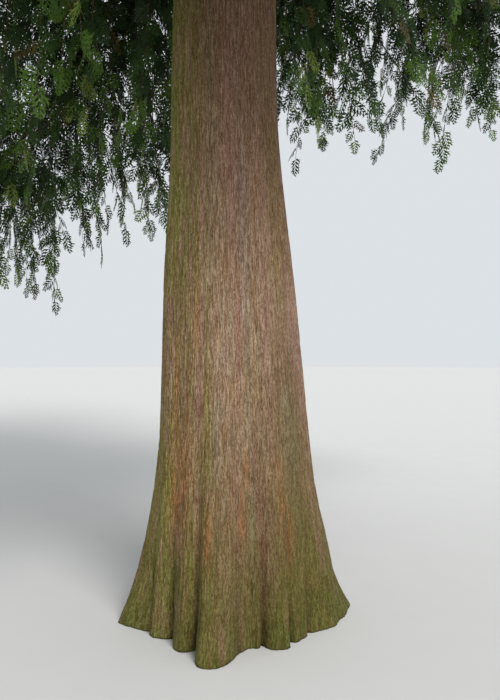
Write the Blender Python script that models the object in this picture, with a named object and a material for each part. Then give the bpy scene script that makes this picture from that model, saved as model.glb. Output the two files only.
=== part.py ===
"""A cedar tree with a fluted foot, standing on level ground.

Metres, +Z up. The origin is at the middle of the flat cut under the trunk, at ground level, and the
side with the long front root faces -Y. The trunk runs whole to its tip. Boughs leave it on a rising
spiral, sag, and turn up at their ends. Each carries one mass of hanging sprays, and the upper masses
sit straight on the trunk.
"""

import math
import random

import bmesh
import bpy
import numpy as np
from mathutils import Vector

# Driving sizes of the whole tree
HEIGHT = 19.5
CROWN_RADIUS = 3.7
CROWN_BASE = 4.25
CROWN_TOP = 18.2
CROWN_POWER = 0.6

# Trunk: an upper taper, a swollen butt below it, and roots that flare at the ground
TRUNK_TOP = 18.85
STEM_RADIUS = 0.368
STEM_POWER = 0.9
BUTT_SWELL = 0.11
BUTT_HEIGHT = 2.5
LEAN = 0.0186
SWAY = 0.05
TRUNK_SIDES = 42
TRUNK_ROWS = 20
ROW_POWER = 2.2

# Roots round the foot: direction in degrees from +X, reach past the butt, half width in degrees
ROOTS = (
    (184, 0.235, 12),
    (221, 0.085, 8),
    (237, 0.060, 7),
    (260, 0.240, 9),
    (300, 0.060, 9),
    (317, 0.085, 8),
    (352, 0.230, 12),
    (27, 0.160, 10),
    (58, 0.220, 11),
    (90, 0.140, 10),
    (118, 0.220, 11),
    (152, 0.150, 11),
)
ROOT_DECAY = 0.47
SKIRT_WIDTH = 3.0
SKIRT_SHARE = 0.3

# Flutes that run on above the roots: count round the trunk, starting angle in degrees, weight
FLUTES = ((7, 40, 1.0), (12, 0, 0.6))
FLUTE_DEPTH = 0.011
FLUTE_DECAY = 2.2

# Boughs, in the order of the spiral from the lowest up
SEED = 12
MASSES = 38
BOUGHS = 20
SPIRAL_TURN = 137.5
SPIRAL_START = 128.0
SPIRAL_POWER = 1.15
TURN_JITTER = 10.0
REACH_JITTER = 0.08
SIDE_SWEEP = 14.0
HIGH_SIDE = 20.0
HIGH_SIDE_LIFT = 1.1
BOUGH_RADIUS = 0.062
BOUGH_TIP = 0.009
BOUGH_TAPER = 0.8
BOUGH_SIDES = 5
BOUGH_STEPS = 4

# How boughs rise, sag and turn up, as shares of their reach: at the crown's base, at its top
PITCH = (0.04, 0.7)
SAG = (0.62, 0.5)
UPTURN = (0.28, 0.14)

# A mass's stem, as shares of its bough, and the twigs on it
MASS_START = 0.4
STEM_END = 0.985
STEM_STEPS = 5
TWIGS = (5, 3)
TWIG_FIRST = 0.06
TWIG_FIRST_ON_TRUNK = 0.2
TWIG_LAST = 0.88
TWIG_ANGLE = 58.0
TWIG_SHARE = 0.42
TWIG_DROOP = 0.3
TWIG_RADIUS = 0.016
TWIG_LEAST_RADIUS = 0.008

# Sprays: outline as shares of length and width, then the sizes
SPRAY_OUTLINE = ((0.22, 0.42), (0.42, 0.28), (0.6, 0.42))
SPRAY_LENGTH = 1.5
SPRAY_SLIMNESS = 0.62
SPRAY_THICKNESS = 0.026
SPRAY_LEAST = 0.5
SPRAY_POWER = 0.35
SPRAY_JITTER = 0.1
SPRAY_TURN_JITTER = 8.0

# Where sprays sit: share along, fall from level (0) to straight down (1), face's turn, length
TWIG_SPRAYS = ((0.45, 0.85, 80, 0.85), (0.95, 0.5, 35, 0.9))
STEM_SPRAYS = ((0.6, 0.9, 70, 0.9), (0.8, 0.8, 70, 0.9), (0.95, 0.35, 10, 0.9))

# The leader above the trunk's tip
LEADER_RADIUS = 0.014
LEADER_NOD = (-0.09, 0.03)
LEADER_SPRAYS = 6
LEADER_SPRAY = (0.62, 0.3)
LEADER_FALL = 0.3

# Each mass hangs round a line this far below its limb, and keeps these distances
HANG = 0.4
CLEARANCE = 0.0003
SPACE_MARGIN = 0.03
LIMB_MARGIN = 0.1
TRUNK_MARGIN = 0.06
SHRINKS = (1.0, 0.75, 0.5)


def clear_scene():
    for item in list(bpy.data.objects):
        bpy.data.objects.remove(item, do_unlink=True)


def material(name, colour, roughness):
    made = bpy.data.materials.new(name)
    made.use_nodes = True
    shader = made.node_tree.nodes["Principled BSDF"]
    shader.inputs["Base Color"].default_value = (*colour, 1.0)
    shader.inputs["Roughness"].default_value = roughness
    shader.inputs["Metallic"].default_value = 0.0
    return made


def blend(low, high, share):
    return low + (high - low) * share


def unit(angle_deg):
    """Level direction at an angle from +X."""
    return Vector((math.cos(math.radians(angle_deg)), math.sin(math.radians(angle_deg)), 0.0))


def trunk_axis(z):
    """Middle of the trunk at a height: it leans towards -X and straightens as it rises."""
    share = z / HEIGHT
    return Vector((-LEAN * z * (1 - 0.5 * share), SWAY * math.sin(math.pi * share), z))


def trunk_stem_radius(z):
    """Radius without the roots: an even taper, plus a swelling that fades above the butt."""
    taper = STEM_RADIUS * max(0.0, 1 - z / HEIGHT) ** STEM_POWER
    return taper + BUTT_SWELL * math.exp(-((z / BUTT_HEIGHT) ** 2))


def trunk_radius(z, angle_deg):
    """Radius in one direction: the stem, its roots near the ground, and shallow flutes above them."""
    flute = sum(weight * math.cos(math.radians(count * angle_deg + start)) for count, start, weight in FLUTES)
    radius = trunk_stem_radius(z) + FLUTE_DEPTH * flute * math.exp(-z / FLUTE_DECAY)
    for direction, reach, half_width in ROOTS:
        off = (angle_deg - direction + 180) % 360 - 180
        ridge = math.exp(-((off / half_width) ** 2))
        skirt = math.exp(-((off / (SKIRT_WIDTH * half_width)) ** 2))
        radius += reach * blend(ridge, skirt, SKIRT_SHARE) * math.exp(-z / ROOT_DECAY)
    return radius


def new_object(name, mesh, finish):
    made = bpy.data.objects.new(name, mesh)
    made.data.materials.append(finish)
    bpy.context.scene.collection.objects.link(made)
    return made


def closed_grid(name, rings, finish):
    """A closed mesh from rings of points, each joined to the next, with a flat cap at both ends."""
    shape = bmesh.new()
    rows = [[shape.verts.new(point) for point in ring] for ring in rings]
    count = len(rings[0])
    for lower, upper in zip(rows, rows[1:]):
        for k in range(count):
            after = (k + 1) % count
            shape.faces.new((lower[k], lower[after], upper[after], upper[k]))
    shape.faces.new(list(reversed(rows[0])))
    shape.faces.new(rows[-1])
    bmesh.ops.recalc_face_normals(shape, faces=shape.faces)
    mesh = bpy.data.meshes.new(name)
    shape.to_mesh(mesh)
    shape.free()
    return new_object(name, mesh, finish)


def trunk_rings(extra):
    """Rings of the trunk, close together at the foot and wide apart above, grown by extra."""
    rings = []
    for row in range(TRUNK_ROWS):
        z = TRUNK_TOP * (row / (TRUNK_ROWS - 1)) ** ROW_POWER
        middle = trunk_axis(z)
        ring = []
        for k in range(TRUNK_SIDES):
            angle = 360 * k / TRUNK_SIDES
            ring.append(middle + unit(angle) * (trunk_radius(z, angle) + extra))
        rings.append(ring)
    return rings


def make_trunk(finish):
    trunk = closed_grid("trunk", trunk_rings(0.0), finish)
    trunk.data.shade_smooth()


def make_trunk_cutter(finish):
    """The trunk grown by the clearance: whatever grows from the trunk is cut back to it."""
    cutter = closed_grid("trunk_clearance", trunk_rings(CLEARANCE), finish)
    cutter.hide_render = True
    cutter.display_type = "WIRE"
    return cutter


class Bough:
    """The line of one bough, from inside the trunk (0) to its tip (1)."""

    def __init__(self, index, chance):
        share = 1 - (1 - index / MASSES) ** SPIRAL_POWER
        self.number = f"{index + 1:02d}"
        self.index = index
        self.share = share
        self.has_limb = index < BOUGHS
        self.turn = SPIRAL_START + SPIRAL_TURN * index + chance.uniform(-TURN_JITTER, TURN_JITTER)
        self.sweep = chance.uniform(-SIDE_SWEEP, SIDE_SWEEP)
        high_side = 0.5 + 0.5 * math.cos(math.radians(self.turn - HIGH_SIDE))
        self.foot = blend(CROWN_BASE, CROWN_TOP, share) + HIGH_SIDE_LIFT * high_side * (1 - share) ** 4
        self.size = (1 - share) ** CROWN_POWER * (1 + chance.uniform(-REACH_JITTER, REACH_JITTER))
        self.reach = CROWN_RADIUS * self.size
        self.pitch = blend(*PITCH, share**0.8)
        self.sag = blend(*SAG, share)
        self.upturn = blend(*UPTURN, share)
        self.thickness = BOUGH_RADIUS * self.size**0.7
        self.start = MASS_START if self.has_limb else 0.0

    def point(self, u):
        rise = self.reach * (self.pitch * u - self.sag * u**2 + self.upturn * u**4)
        level = unit(self.turn + self.sweep * u * u) * self.reach * u
        return trunk_axis(self.foot) + level + Vector((0, 0, rise))

    def direction(self, u):
        step = 0.01
        return (self.point(u + step) - self.point(u - step)).normalized()

    def radius(self, u):
        return blend(self.thickness, BOUGH_TIP, u**BOUGH_TAPER)


def frame_of(direction):
    """Two directions across a line: one level, one square to both."""
    across = direction.cross(Vector((0, 0, 1)))
    if across.length < 0.05:
        across = Vector((1, 0, 0))
    across.normalize()
    return across, across.cross(direction).normalized()


def ring_round(middle, direction, radius, sides):
    across, upward = frame_of(direction)
    turns = [2 * math.pi * k / sides + math.pi / 2 for k in range(sides)]
    return [middle + (across * math.cos(t) + upward * math.sin(t)) * radius for t in turns]


def limb(name, line, start, end, steps, sides, finish):
    """A tapering limb along part of a bough's line, with flat ends square to it."""
    rings = []
    for k in range(steps + 1):
        u = blend(start, end, k / steps)
        rings.append(ring_round(line.point(u), line.direction(u), line.radius(u), sides))
    return closed_grid(name, rings, finish)


def twig(root, tip, radius, finish):
    """A straight three-sided twig that thins towards its tip."""
    direction = (tip - root).normalized()
    rings = [ring_round(root, direction, radius, 3), ring_round(tip, direction, radius * 0.4, 3)]
    return closed_grid("twig", rings, finish)


def spray_rim(root, direction, across, length):
    """Corners of a hanging spray's toothed outline."""
    width = SPRAY_SLIMNESS * length
    left = list(SPRAY_OUTLINE)
    right = [(x, -y) for x, y in reversed(SPRAY_OUTLINE)]
    outline = [(0.0, 0.0), *left, (1.0, 0.0), *right]
    return [root + direction * x * length + across * y * width for x, y in outline]


def spray(rim, middle, normal, finish):
    """A thin toothed blade, thickest at its middle."""
    shape = bmesh.new()
    corners = [shape.verts.new(point) for point in rim]
    for side in (1, -1):
        peak = shape.verts.new(middle + normal * side * SPRAY_THICKNESS / 2)
        for k, corner in enumerate(corners):
            shape.faces.new((corner, corners[(k + 1) % len(corners)], peak))
    bmesh.ops.recalc_face_normals(shape, faces=shape.faces)
    mesh = bpy.data.meshes.new("spray")
    shape.to_mesh(mesh)
    shape.free()
    return new_object("spray", mesh, finish)


def apply_boolean(target, operation, **operand):
    """Runs one Boolean on an object and puts the result in its mesh."""
    modifier = target.modifiers.new(operation, "BOOLEAN")
    modifier.operation = operation
    modifier.solver = "EXACT"
    for name, value in operand.items():
        setattr(modifier, name, value)
    graph = bpy.context.evaluated_depsgraph_get()
    mesh = bpy.data.meshes.new_from_object(target.evaluated_get(graph))
    target.modifiers.clear()
    old = target.data
    target.data = mesh
    bpy.data.meshes.remove(old)


def keep_largest(target):
    """Drops loose scraps and fills sealed hollows: only the outer shell of the largest body stays."""
    shape = bmesh.new()
    shape.from_mesh(target.data)
    bmesh.ops.remove_doubles(shape, verts=shape.verts, dist=1e-6)
    unseen = set(shape.faces)
    shells = []
    while unseen:
        first = unseen.pop()
        shell, edge = [first], [first]
        while edge:
            face = edge.pop()
            for side in face.edges:
                for other in side.link_faces:
                    if other in unseen:
                        unseen.remove(other)
                        shell.append(other)
                        edge.append(other)
        shells.append(shell)
    shells.sort(key=len)
    scraps = [face for shell in shells[:-1] for face in shell]
    bmesh.ops.delete(shape, geom=scraps, context="FACES")
    shape.to_mesh(target.data)
    shape.free()


def fuse(base, pieces):
    """Joins the pieces of one mass into its stem."""
    group = bpy.data.collections.new("pieces_of_" + base.name)
    bpy.context.scene.collection.children.link(group)
    for piece in pieces:
        bpy.context.scene.collection.objects.unlink(piece)
        group.objects.link(piece)
    apply_boolean(base, "UNION", operand_type="COLLECTION", collection=group)
    for piece in pieces:
        bpy.data.objects.remove(piece, do_unlink=True)
    bpy.data.collections.remove(group)
    keep_largest(base)


class Space:
    """Which part of the crown belongs to each mass: the part nearer to its own middle than to any other."""

    SAMPLES = 50

    def __init__(self, boughs):
        shares = np.linspace(0, 1, self.SAMPLES)
        self.limbs = [np.array([line.point(u) for u in shares]) for line in boughs]
        self.middles = [limb_line - (0, 0, HANG * line.size) for limb_line, line in zip(self.limbs, boughs)]
        self.starts = [math.ceil(line.start * self.SAMPLES) for line in boughs]

    def holds(self, index, points):
        """True if every point keeps to the mass's own space, clear of the trunk and of every limb."""
        points = np.array([tuple(point) for point in points])
        start = self.starts[index]
        own = self.distance(points, self.middles[index][start:])
        for other, middle in enumerate(self.middles):
            if other == index:
                continue
            if (self.distance(points, middle) < own + SPACE_MARGIN).any():
                return False
            if (self.distance(points, self.limbs[other]) < LIMB_MARGIN).any():
                return False
        if start and (self.distance(points, self.limbs[index][: start - 2]) < LIMB_MARGIN).any():
            return False
        return all(self.clear_of_trunk(point) for point in points)

    @staticmethod
    def distance(points, line):
        return np.sqrt(((points[:, None, :] - line[None, :, :]) ** 2).sum(2)).min(1)

    @staticmethod
    def clear_of_trunk(point):
        axis = trunk_axis(point[2])
        level = math.hypot(point[0] - axis.x, point[1] - axis.y)
        return level > trunk_stem_radius(point[2]) + TRUNK_MARGIN


def along(points, steps):
    """Points spread evenly between each pair of the points given, for testing a whole length."""
    return [a.lerp(b, k / steps) for a, b in zip(points, points[1:]) for k in range(steps + 1)]


def hanging(heading, fall):
    """A direction between a level heading (0) and straight down (1)."""
    return (heading * (1 - fall) + Vector((0, 0, -fall))).normalized()


class Mass:
    """One mass: a stem that carries on from the bough, side twigs left and right in turn, and sprays."""

    def __init__(self, line, space, chance, finish):
        self.line = line
        self.space = space
        self.chance = chance
        self.finish = finish
        self.pieces = []
        gap = CLEARANCE / line.reach if line.has_limb else 0.0
        name = "foliage_" + line.number
        self.stem = limb(name, line, line.start + gap, STEM_END, STEM_STEPS, 3, finish)

    def add_spray(self, root, heading, fall, turn, share):
        """A spray on a heading, its face turned from level about its own length."""
        jitter = self.chance.uniform(1 - SPRAY_JITTER, 1 + SPRAY_JITTER)
        size = max(SPRAY_LEAST, self.line.size**SPRAY_POWER) * jitter
        direction = hanging(heading, fall)
        level, square = frame_of(direction)
        turned = math.radians(turn + self.chance.uniform(-SPRAY_TURN_JITTER, SPRAY_TURN_JITTER))
        across = level * math.cos(turned) + square * math.sin(turned)
        for shrink in SHRINKS:
            length = SPRAY_LENGTH * size * share * shrink
            rim = spray_rim(root, direction, across, length)
            middle = root + direction * length / 2
            tested = along([*rim, rim[0]], 3) + [middle.lerp(corner, 0.5) for corner in rim]
            if self.space.holds(self.line.index, tested):
                self.pieces.append(spray(rim, middle, direction.cross(across), self.finish))
                return

    def add_twig(self, u, side, share):
        """A side twig with its sprays, shorter where its space is narrow."""
        root = self.line.point(u)
        ahead = self.line.direction(u)
        heading = unit(math.degrees(math.atan2(ahead.y, ahead.x)) + side * TWIG_ANGLE)
        for shrink in SHRINKS:
            length = self.line.reach * TWIG_SHARE * share * shrink
            tip = root + heading * length + Vector((0, 0, -TWIG_DROOP * length))
            if self.space.holds(self.line.index, along([root.lerp(tip, 0.12), tip], 6)):
                radius = max(TWIG_LEAST_RADIUS, TWIG_RADIUS * self.line.size)
                self.pieces.append(twig(root, tip, radius, self.finish))
                for place, fall, turn, spray_share in TWIG_SPRAYS:
                    self.add_spray(root.lerp(tip, place), heading, fall, side * turn, spray_share)
                return


def make_mass(line, space, cutter, chance, finish):
    mass = Mass(line, space, chance, finish)
    first = line.start + TWIG_FIRST
    if not line.has_limb:
        first = TWIG_FIRST_ON_TRUNK
        apply_boolean(mass.stem, "DIFFERENCE", operand_type="OBJECT", object=cutter)
    twigs = round(blend(*TWIGS, line.share))
    for k in range(twigs):
        share = k / (twigs - 1)
        mass.add_twig(blend(first, TWIG_LAST, share), 1 if k % 2 else -1, 1 - share / 2)
    for u, fall, turn, share in STEM_SPRAYS:
        mass.add_spray(line.point(u), line.direction(u), fall, turn, share)
    fuse(mass.stem, mass.pieces)


def leader_point(share):
    """A point on the nodding shoot above the trunk's tip."""
    nod_x, nod_y = LEADER_NOD
    foot = trunk_axis(TRUNK_TOP)
    rise = CLEARANCE + (HEIGHT - TRUNK_TOP) * share
    return foot + Vector((nod_x * share**2, nod_y * share, rise))


def make_leader(chance, finish):
    """The top of the tree: a thin shoot with short sprays round it."""
    shares = (0, 0.4, 0.75, 1)
    rings = [ring_round(leader_point(s), Vector((0, 0, 1)), LEADER_RADIUS * (1 - 0.7 * s), 3) for s in shares]
    stem = closed_grid("foliage_top", rings, finish)
    pieces = []
    for k in range(LEADER_SPRAYS):
        share = k / (LEADER_SPRAYS - 1)
        root = leader_point(blend(0.12, 0.87, share))
        direction = hanging(unit(SPIRAL_TURN * k), LEADER_FALL)
        level, square = frame_of(direction)
        length = blend(*LEADER_SPRAY, share) * chance.uniform(1 - SPRAY_JITTER, 1 + SPRAY_JITTER)
        rim = spray_rim(root, direction, level, length)
        pieces.append(spray(rim, root + direction * length / 2, square, finish))
    fuse(stem, pieces)


def make_bough(line, cutter, finish):
    """A bough from inside the trunk to where its mass begins, cut back to the trunk's surface."""
    made = limb("bough_" + line.number, line, 0.0, line.start, BOUGH_STEPS, BOUGH_SIDES, finish)
    apply_boolean(made, "DIFFERENCE", operand_type="OBJECT", object=cutter)
    keep_largest(made)
    made.data.shade_smooth()


def main():
    clear_scene()
    chance = random.Random(SEED)
    trunk_bark = material("trunk bark", (0.20, 0.15, 0.11), 0.9)
    bough_bark = material("bough bark", (0.15, 0.11, 0.08), 0.9)
    needles = material("sprays", (0.05, 0.11, 0.03), 0.7)
    make_trunk(trunk_bark)
    cutter = make_trunk_cutter(trunk_bark)
    lines = [Bough(index, chance) for index in range(MASSES)]
    space = Space(lines)
    for line in lines:
        if line.has_limb:
            make_bough(line, cutter, bough_bark)
        make_mass(line, space, cutter, chance, needles)
    make_leader(chance, needles)


main()
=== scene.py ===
# A grown red cedar: fluted foot, stringy bark, sagging boughs and curtains of flat sprays.
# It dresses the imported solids. Metres, +Z up, ground at z = 0, the viewer of the photo at -Y.

import math
import random

import bpy
import numpy as np
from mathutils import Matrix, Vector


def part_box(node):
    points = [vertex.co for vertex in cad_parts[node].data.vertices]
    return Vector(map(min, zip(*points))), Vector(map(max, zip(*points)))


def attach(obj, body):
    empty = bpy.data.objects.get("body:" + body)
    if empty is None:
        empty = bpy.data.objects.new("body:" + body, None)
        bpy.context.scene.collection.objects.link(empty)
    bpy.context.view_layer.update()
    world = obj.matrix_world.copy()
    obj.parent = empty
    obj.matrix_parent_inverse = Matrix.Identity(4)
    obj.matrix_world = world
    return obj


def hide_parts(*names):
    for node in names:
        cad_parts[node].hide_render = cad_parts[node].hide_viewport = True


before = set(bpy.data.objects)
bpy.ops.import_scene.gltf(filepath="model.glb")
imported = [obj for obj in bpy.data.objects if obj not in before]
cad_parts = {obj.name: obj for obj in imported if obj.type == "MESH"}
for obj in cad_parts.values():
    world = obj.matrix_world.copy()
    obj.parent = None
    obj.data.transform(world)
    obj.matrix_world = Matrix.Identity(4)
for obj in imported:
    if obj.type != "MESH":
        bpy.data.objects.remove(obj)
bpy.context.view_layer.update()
print("frame loaded")

up = np.array([0.0, 0.0, 1.0])


def blend(low, high, share):
    return low + (high - low) * share


def bell(x, y=0.0):
    # One in the middle, and fading smoothly on all sides: exp(-x^2 - y^2).
    return np.exp(-(x**2) - y**2)


def unit(angle):
    # Level directions at angles in degrees from +X.
    angle = np.radians(angle)
    return np.stack([np.cos(angle), np.sin(angle), np.zeros_like(angle)], -1)


def headingOf(direction):
    # The level angle of each direction, in degrees from +X.
    return np.degrees(np.arctan2(direction[:, 1], direction[:, 0]))


def turnFrom(direction, angle):
    # Degrees from one direction to others, from -180 to 180.
    return (angle - direction + 180) % 360 - 180


def scaled(vectors, sizes):
    # Each vector times a size of its own.
    return vectors * np.asarray(sizes)[..., None]


def turned(first, second, angle):
    # From the first direction (0) towards the second: first cos(angle) + second sin(angle).
    return scaled(first, np.cos(angle)) + scaled(second, np.sin(angle))


def normalised(vectors):
    return vectors / np.maximum(np.linalg.norm(vectors, axis=-1, keepdims=True), 1e-9)


def acrossOf(direction):
    # Two directions across a line: one level, one square to both.
    flat = np.zeros_like(direction[..., 0])
    level = np.stack([direction[..., 1], -direction[..., 0], flat], -1)
    size = np.linalg.norm(level, axis=-1, keepdims=True)
    level = np.where(size < 0.05, np.array([1.0, 0.0, 0.0]), level / np.maximum(size, 1e-9))
    return level, np.cross(level, direction)


# Mesh making

def addObject(name, data):
    # Puts a mesh, a light or a camera into the scene.
    made = bpy.data.objects.new(name, data)
    bpy.context.scene.collection.objects.link(made)
    return made


def makeMesh(name, points, faceGroups, materials, attributes=None, materialIndex=None, smooth=True):
    # Faces come in groups of one corner count each: triangles, four-sided faces, end caps.
    mesh = bpy.data.meshes.new(name)
    points = points.reshape(-1, 3)
    loops = np.concatenate([group.ravel() for group in faceGroups]).astype(np.int32)
    sizes = np.concatenate([np.full(len(group), group.shape[1]) for group in faceGroups])
    starts = np.concatenate([[0], np.cumsum(sizes)[:-1]]).astype(np.int32)
    mesh.vertices.add(len(points))
    mesh.vertices.foreach_set("co", points.astype(np.float32).ravel())
    mesh.loops.add(len(loops))
    mesh.loops.foreach_set("vertex_index", loops)
    mesh.polygons.add(len(sizes))
    mesh.polygons.foreach_set("loop_start", starts)
    for label, values in (attributes or {}).items():
        kind, field = ("FLOAT", "value") if values.size == len(points) else ("FLOAT_VECTOR", "vector")
        made = mesh.attributes.new(label, kind, "POINT")
        made.data.foreach_set(field, values.astype(np.float32).ravel())
    for material in materials:
        mesh.materials.append(material)
    if materialIndex is not None:
        mesh.polygons.foreach_set("material_index", materialIndex.astype(np.int32))
    mesh.update(calc_edges=True)
    mesh.validate()
    if smooth:  # end caps stay flat, so that they do not bend the shading of the rim
        mesh.polygons.foreach_set("use_smooth", sizes <= 4)
    return addObject(name, mesh)


def tubeFaces(tubes, rings, sides):
    # Corner numbers of closed tubes whose points run tube by tube, ring by ring, side by side.
    start = (np.arange(tubes) * rings * sides)[:, None, None]
    ring = (np.arange(rings - 1) * sides)[None, :, None]
    side = np.arange(sides)[None, None, :]
    after = (side + 1) % sides
    low = start + ring
    walls = np.stack([low + side, low + after, low + sides + after, low + sides + side], -1).reshape(-1, 4)
    foot = (start[:, 0] + np.arange(sides)[::-1][None, :]).reshape(tubes, sides)
    tip = (start[:, 0] + (rings - 1) * sides + np.arange(sides)[None, :]).reshape(tubes, sides)
    return [walls, np.concatenate([foot, tip])]


def tubePoints(centres, radii):
    # Rings round each centre, square to the line: centres are (tubes, rings, 3), radii add the sides.
    direction = normalised(np.gradient(centres, axis=1))
    level, square = acrossOf(direction)
    turns = 2 * np.pi * np.arange(radii.shape[2]) / radii.shape[2]
    outward = turned(level[:, :, None, :], square[:, :, None, :], turns)
    return centres[:, :, None, :] + scaled(outward, radii)


# The tree's sizes and its growing rule, as in the source of the solids

tree = {
    "height": 19.5, "crownRadius": 3.7, "crownBase": 4.25, "crownTop": 18.2, "crownPower": 0.6,
    "seed": 12, "masses": 38, "boughs": 20, "spiralTurn": 137.5, "spiralStart": 128.0, "spiralPower": 1.15,
    "turnJitter": 10.0, "reachJitter": 0.08, "sideSweep": 14.0, "highSide": 20.0, "highSideLift": 1.1,
    "pitch": (0.04, 0.7), "sag": (0.62, 0.5), "upturn": (0.28, 0.14), "massStart": 0.4, "hang": 0.4,
    "overlap": 0.26, "boxMargin": 0.08, "limbMargin": 0.05, "trunkMargin": 0.05,
    "shrinks": (1.0, 0.8, 0.6, 0.42), "bareFront": (0.7, 4.1),
}

trunk = {
    "top": 18.85, "stemRadius": 0.368, "stemPower": 0.9, "buttSwell": 0.11, "buttHeight": 2.5,
    "lean": 0.0186, "sway": 0.05, "rootDecay": 0.47, "skirtWidth": 3.0, "skirtShare": 0.3,
    "roots": (  # direction in degrees from +X, reach past the butt, half width in degrees
        (184, 0.235, 12), (221, 0.085, 8), (237, 0.060, 7), (260, 0.240, 9), (300, 0.060, 9),
        (317, 0.085, 8), (352, 0.230, 12), (27, 0.160, 10), (58, 0.220, 11), (90, 0.140, 10),
        (118, 0.220, 11), (152, 0.150, 11),
    ),
    "flutes": ((7, 40, 1.0), (12, 0, 0.6)), "fluteDepth": 0.011, "fluteDecay": 2.2,
}


def trunkAxis(z):
    # Middle of the trunk: x = -lean z (1 - z / 2 height), y = sway sin(pi z / height).
    z = np.asarray(z, float)
    share = z / tree["height"]
    return np.stack([-trunk["lean"] * z * (1 - 0.5 * share), trunk["sway"] * np.sin(np.pi * share), z], -1)


def stemRadius(z):
    # An even taper plus a swelling at the butt that fades as a bell curve.
    taper = trunk["stemRadius"] * np.maximum(0, 1 - z / tree["height"]) ** trunk["stemPower"]
    return taper + trunk["buttSwell"] * bell(z / trunk["buttHeight"])


def trunkRadius(z, angle):
    # The stem, shallow cosine flutes, and one bell-shaped ridge for each root that fades upwards.
    flute = 0
    for count, start, weight in trunk["flutes"]:
        flute = flute + weight * np.cos(np.radians(count * angle + start))
    radius = stemRadius(z) + trunk["fluteDepth"] * flute * np.exp(-z / trunk["fluteDecay"])
    for direction, reach, halfWidth in trunk["roots"]:
        off = turnFrom(direction, angle)
        ridge, skirt = bell(off / halfWidth), bell(off / (trunk["skirtWidth"] * halfWidth))
        radius = radius + reach * blend(ridge, skirt, trunk["skirtShare"]) * np.exp(-z / trunk["rootDecay"])
    return radius


# Bark relief

def stripNoise(around, upward, columns, seed):
    # Smooth random values in columns that close round the trunk. Each column runs on a lattice of
    # its own height, so that no values line up level, and neighbouring columns blend into each other.
    chance = np.random.default_rng(seed)
    lattice = chance.uniform(-1, 1, (256, columns))
    phase = chance.uniform(0, 256, columns)
    x = np.mod(around, 1.0) * columns
    column = np.floor(x).astype(int) % columns
    across = x - np.floor(x)
    across = across * across * (3 - 2 * across)

    def valueIn(column):
        y = upward + phase[column]
        row = np.floor(y).astype(int)
        rise = y - row
        rise = rise * rise * (3 - 2 * rise)
        return blend(lattice[row % 256, column], lattice[(row + 1) % 256, column], rise)

    return blend(valueIn(column), valueIn((column + 1) % columns), across)


# The furrows' darkness stands for dark inner bark and painted shade in the hollows.
barkRelief = {  # columns round the trunk, length, depth, width of the furrows, and how dark they are
    "stripColumns": 124, "stripLength": 0.2, "stripDepth": 0.0033, "stripWidth": 0.16, "stripShade": 0.42,
    "fibreColumns": 290, "fibreLength": 0.055, "fibreDepth": 0.0042, "fibreWidth": 0.22, "fibreShade": 0.48,
    "swellColumns": 34, "swellLength": 1.1, "swellDepth": 0.0003,
    "fleckColumns": 180, "fleckLength": 0.16, "fleckShare": 0.4, "wander": 0.0042,
    "wanderLayers": ((1.0, 0.8, 26, 0), (0.6, 0.25, 70, 1)),  # share, length, columns and seed of each
    "hueLayers": ((0.4, 1.4, 24, 30), (0.5, 0.7, 70, 76), (0.15, 0.35, 210, 216)),
}


def layered(layers, around, height, seed):
    # Sum of column noises, each at its own share, length, number of columns and seed.
    total = 0
    for share, long, columns, step in layers:
        total = total + share * stripNoise(around, height / long, columns, seed + step)
    return total


def barkSurface(around, height, scale=1.0, seed=3):
    # Furrows lie where a column noise crosses zero: depth = exp(-(noise / width)^2). Strips carry short
    # fibres, and a slow sideways wander makes them part and join. Returns relief, furrow, tone and hue.
    b = barkRelief
    moved = around + b["wander"] * layered(b["wanderLayers"], around, height, seed)
    strip = stripNoise(moved, height / b["stripLength"], b["stripColumns"], seed + 2)
    fibre = stripNoise(moved, height / b["fibreLength"], b["fibreColumns"], seed + 3)
    swell = stripNoise(around, height / b["swellLength"], b["swellColumns"], seed + 4)
    fleck = stripNoise(moved, height / b["fleckLength"], b["fleckColumns"], seed + 5)
    stripFurrow, fibreFurrow = bell(strip / b["stripWidth"]), bell(fibre / b["fibreWidth"])
    relief = -b["stripDepth"] * stripFurrow - b["fibreDepth"] * fibreFurrow + b["swellDepth"] * swell
    furrow = np.clip(b["stripShade"] * stripFurrow + b["fibreShade"] * fibreFurrow, 0, 1)
    tone = (1 - b["fleckShare"]) * fibre + b["fleckShare"] * fleck
    return scale * relief, furrow, tone, layered(b["hueLayers"], moved, height, seed)


# Shader wiring

class Wire:
    # A socket that Python expressions can work with: each operator adds a Math node.
    def __init__(self, shader, socket):
        self.shader = shader
        self.socket = socket

    def math(self, operation, *values):
        return self.shader.node("ShaderNodeMath", {"operation": operation}, dict(enumerate(values)))

    def __add__(self, other):
        return self.math("ADD", self, other)

    def __sub__(self, other):
        return self.math("SUBTRACT", self, other)

    def __rsub__(self, other):
        return self.math("SUBTRACT", other, self)

    def __mul__(self, other):
        return self.math("MULTIPLY", self, other)

    __rmul__ = __mul__

    def clamped(self):
        # Kept between 0 and 1.
        return self.shader.node("ShaderNodeClamp", {}, {"Value": self})


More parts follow.
